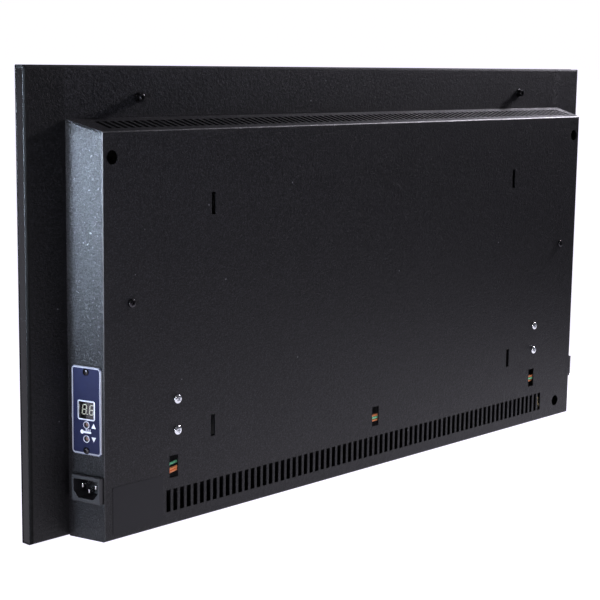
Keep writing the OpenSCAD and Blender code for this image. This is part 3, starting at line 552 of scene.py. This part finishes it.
def screw_mesh(name, hd, hh, sd, sl, turn=20.0):
    """Head from 0 to hh, hd across, shank sd across down to -sl."""
    r = hd / 2
    e = hh * 0.14
    dome = [(r - e * 0.3, 0), (r, e * 0.8), (r, hh * 0.38)]
    for i in range(1, 9):
        a = math.pi / 2 * i / 8
        dome.append((r * math.cos(a) ** 0.55 if i < 8 else 0.0, hh * 0.38 + hh * 0.62 * math.sin(a)))
    body = bmesh.new()
    lathe(body, [(0, -sl), (sd / 2 - 0.4, -sl), (sd / 2, -sl + 0.5), (sd / 2, 0)] + dome)
    bmesh.ops.recalc_face_normals(body, faces=body.faces)
    cut = bmesh.new()
    w0, w1, l0, l1, d = hd * 0.065, hd * 0.045, hd * 0.29, hd * 0.17, hh * 0.62
    for base in (0, 90):
        ca, sa = math.cos(math.radians(turn + base)), math.sin(math.radians(turn + base))
        vs = []
        for (x, y, z) in ((-l1, -w1, hh - d), (l1, -w1, hh - d), (l1, w1, hh - d), (-l1, w1, hh - d),
                          (-l0, -w0, hh + 0.2), (l0, -w0, hh + 0.2), (l0, w0, hh + 0.2), (-l0, w0, hh + 0.2)):
            vs.append(cut.verts.new((x * ca - y * sa, x * sa + y * ca, z + (0.001 if base else 0))))
        for f in ((0, 3, 2, 1), (4, 5, 6, 7), (0, 1, 5, 4), (1, 2, 6, 5), (2, 3, 7, 6), (3, 0, 4, 7)):
            cut.faces.new([vs[i] for i in f])
    bmesh.ops.recalc_face_normals(cut, faces=cut.faces)
    obs = []
    for nm, b_ in ((name, body), (name + "_cut", cut)):
        me_ = bpy.data.meshes.new(nm)
        b_.to_mesh(me_)
        b_.free()
        ob = bpy.data.objects.new(nm, me_)
        scene.collection.objects.link(ob)
        obs.append(ob)
    mod = obs[0].modifiers.new("recess", "BOOLEAN")
    mod.operation, mod.solver, mod.object = "DIFFERENCE", "EXACT", obs[1]
    mod.use_self = True
    dg = bpy.context.evaluated_depsgraph_get()
    out = bpy.data.meshes.new_from_object(obs[0].evaluated_get(dg))
    for ob in obs:
        bpy.data.objects.remove(ob)
    for p in out.polygons:
        p.use_smooth = True
    out.set_sharp_from_angle(angle=math.radians(32))
    return out


def screws(node, hd, hh, sd, sl, places):
    """places: 4x4 matrices in millimetres, local Z out of the head."""
    bm = bmesh.new()
    for i, place in enumerate(places):
        me_ = screw_mesh(f"{node}_{i}", hd, hh, sd, sl, 20.0 + 37.0 * i)
        me_.transform(place)
        bm.from_mesh(me_)
        bpy.data.meshes.remove(me_)
    me_ = bpy.data.meshes.new(node + "_domed")
    bm.to_mesh(me_)
    bm.free()
    me_.set_sharp_from_angle(angle=math.radians(32))
    return piece(node + "_domed", me_, node)


def rear_place(x, d, z):
    """Millimetre-sized screw standing out of a face that looks to the rear."""
    m = Matrix(((MM, 0, 0, x * MM), (0, 0, MM, (d + YP) * MM), (0, -MM, 0, z * MM), (0, 0, 0, 1)))
    return m


def side_place(s, z, h):
    p = sidep(s, z, h)
    m = Matrix.Identity(4)
    for i in range(3):
        m[i][0], m[i][1], m[i][2] = (-ST, CT, 0)[i] * MM, (0, 0, 1)[i] * MM, (CT, ST, 0)[i] * MM
        m[i][3] = (p[i] + (YP if i == 1 else 0)) * MM
    return m


screws("bracket_screws", 8.2, 2.4, 4, 8, [rear_place(EX + s * EB, CASE_D, EZ + t * 14) for s in (-1, 1) for t in (-1, 1)])
screws("mid_screws", 7.6, 2.4, 4, 12, [rear_place(s * (CASE_HW - 39), CASE_D, 202.7) for s in (-1, 1)])
screws("corner_screws", 8, 2.6, 4, 9.8, [rear_place(s * x, SHEET, z) for s in (-1, 1) for x, z in ((CASE_HW - 19, 325.8), (CASE_HW - 36, 18))])
screws("plate_screws", 5.8, 1.6, 3, 16, [side_place(SC, z, 1.2) for z in (146, 78.3)])

# ---------------------------------------------------------------- camera, from the photograph's perspective
cam_data = bpy.data.cameras.new("camera")
cam = bpy.data.objects.new("camera", cam_data)
scene.collection.objects.link(cam)
scene.camera = cam
fwd = Vector((-0.71812, -0.67766, -0.15837)).normalized()
up = Vector((-0.10559, -0.11884, 0.98728)).normalized()
right = fwd.cross(up).normalized()
up = right.cross(fwd)
m = Matrix.Identity(4)
for i in range(3):
    m[i][0], m[i][1], m[i][2] = right[i], up[i], -fwd[i]
m[0][3], m[1][3], m[2][3] = 1.12416, 0.97717, 0.40682
cam.matrix_world = m
cam_data.sensor_width = 36.0
cam_data.sensor_fit = "HORIZONTAL"
cam_data.lens = 1494.66 * 36 / 600
cam_data.shift_x = (300 - 300.19) / 600
cam_data.shift_y = (299.46 - 300) / 600
cam_data.clip_start = 0.05
cam_data.clip_end = 60

# ---------------------------------------------------------------- floor, world and lights
me = bpy.data.meshes.new("floor")
bm = bmesh.new()
bmesh.ops.create_grid(bm, x_segments=1, y_segments=1, size=30)
bm.to_mesh(me); bm.free()
floor = bpy.data.objects.new("floor", me)
scene.collection.objects.link(floor)
fm, nt, b = new_mat("floor")
pale = noise(nt, 3.0, 3.0, 0.5, coords(nt)).outputs["Fac"]
nt.links.new(ramp(nt, pale, 0.3, (0.19, 0.19, 0.192), 0.7, (0.2, 0.2, 0.2)), b.inputs["Base Color"])
# the white table top fades to grey behind the camera's side of the object
where = nt.nodes.new("ShaderNodeVectorMath"); where.operation = "DOT_PRODUCT"
nt.links.new(coords(nt), where.inputs[0])
where.inputs[1].default_value = (-0.62, 1.0, 0.0)
fade = nt.nodes.new("ShaderNodeMapRange")
fade.interpolation_type = "SMOOTHSTEP"
for key, val in (("From Min", 0.36), ("From Max", 0.95), ("To Min", 1.0), ("To Max", 0.1)):
    fade.inputs[key].default_value = val
nt.links.new(where.outputs["Value"], fade.inputs["Value"])
shade = nt.nodes.new("ShaderNodeVectorMath"); shade.operation = "SCALE"
nt.links.new(ramp(nt, pale, 0.3, (1.03, 1.0, 1.14), 0.7, (1.05, 1.02, 1.16)), shade.inputs[0])
nt.links.new(fade.outputs["Result"], shade.inputs["Scale"])
nt.links.new(shade.outputs["Vector"], b.inputs["Emission Color"])
setp(b, rough=0.65, spec=0.1, emit=1.0)
me.materials.append(fm)

world = bpy.data.worlds.new("studio")
scene.world = world
world.use_nodes = True
wn = world.node_tree
bg = wn.nodes["Background"]
tc = wn.nodes.new("ShaderNodeTexCoord")
# a white horizon with dark walls to the left and to the right of the photographer, and a dark ceiling
sep = wn.nodes.new("ShaderNodeVectorMath"); sep.operation = "DOT_PRODUCT"
sep.inputs[1].default_value = (-0.72, 0.69, 0.0)
wn.links.new(tc.outputs["Generated"], sep.inputs[0])
side_on = wn.nodes.new("ShaderNodeMath"); side_on.operation = "ABSOLUTE"
wn.links.new(sep.outputs["Value"], side_on.inputs[0])
wr = wn.nodes.new("ShaderNodeValToRGB")
wr.color_ramp.elements[0].position, wr.color_ramp.elements[0].color = 0.3, (1.03, 1.0, 1.14, 1)
wr.color_ramp.elements[1].position, wr.color_ramp.elements[1].color = 0.55, (0.06, 0.06, 0.07, 1)
height = wn.nodes.new("ShaderNodeSeparateXYZ")
wn.links.new(tc.outputs["Generated"], height.inputs[0])
over = wn.nodes.new("ShaderNodeMath"); over.operation = "MULTIPLY"
wn.links.new(height.outputs["Z"], over.inputs[0])
over.inputs[1].default_value = 6.0
dark = wn.nodes.new("ShaderNodeMath"); dark.operation = "MAXIMUM"
wn.links.new(side_on.outputs[0], dark.inputs[0])
wn.links.new(over.outputs[0], dark.inputs[1])
wn.links.new(dark.outputs[0], wr.inputs["Fac"])
wn.links.new(wr.outputs["Color"], bg.inputs["Color"])
bg.inputs["Strength"].default_value = 1.0


def area(name, loc, target, size, power, size_y=None, color=(1, 1, 1), spread=180.0):
    ld = bpy.data.lights.new(name, "AREA")
    ld.shape = "RECTANGLE" if size_y else "SQUARE"
    ld.size = size
    if size_y:
        ld.size_y = size_y
    ld.energy = power
    ld.color = color
    ld.spread = math.radians(spread)
    lo = bpy.data.objects.new(name, ld)
    scene.collection.objects.link(lo)
    lo.location = loc
    d = Vector(target) - Vector(loc)
    lo.rotation_euler = d.to_track_quat("-Z", "Y").to_euler()
    return lo


area("side_box", (1.8, -0.22, 0.26), (0.355, 0.0, 0.345), 0.3, 1.62, 0.14, (0.66, 0.81, 1.0), 18.0)
area("low_box", (1.8, -0.22, 0.1), (0.355, 0.0, 0.005), 0.3, 0.17, 0.1, (0.68, 0.82, 1.0), 18.0)
area("edge_strip", (1.661, 0.494, 0.3), (0.36, 0.02, 0.34), 0.05, 0.42, 0.3, (0.8, 0.89, 1.0), 20.0)
area("top_box", (-1.25, 0.075, 0.92), (-0.42, 0.0, 0.37), 0.22, 4.4, 0.22, (1.0, 0.96, 1.08), 60.0)
area("high_box", (1.5, 1.3, 1.55), (0.3, 0.0, 0.25), 0.26, 0.6, 0.26, (1.0, 0.99, 0.97), 40.0)
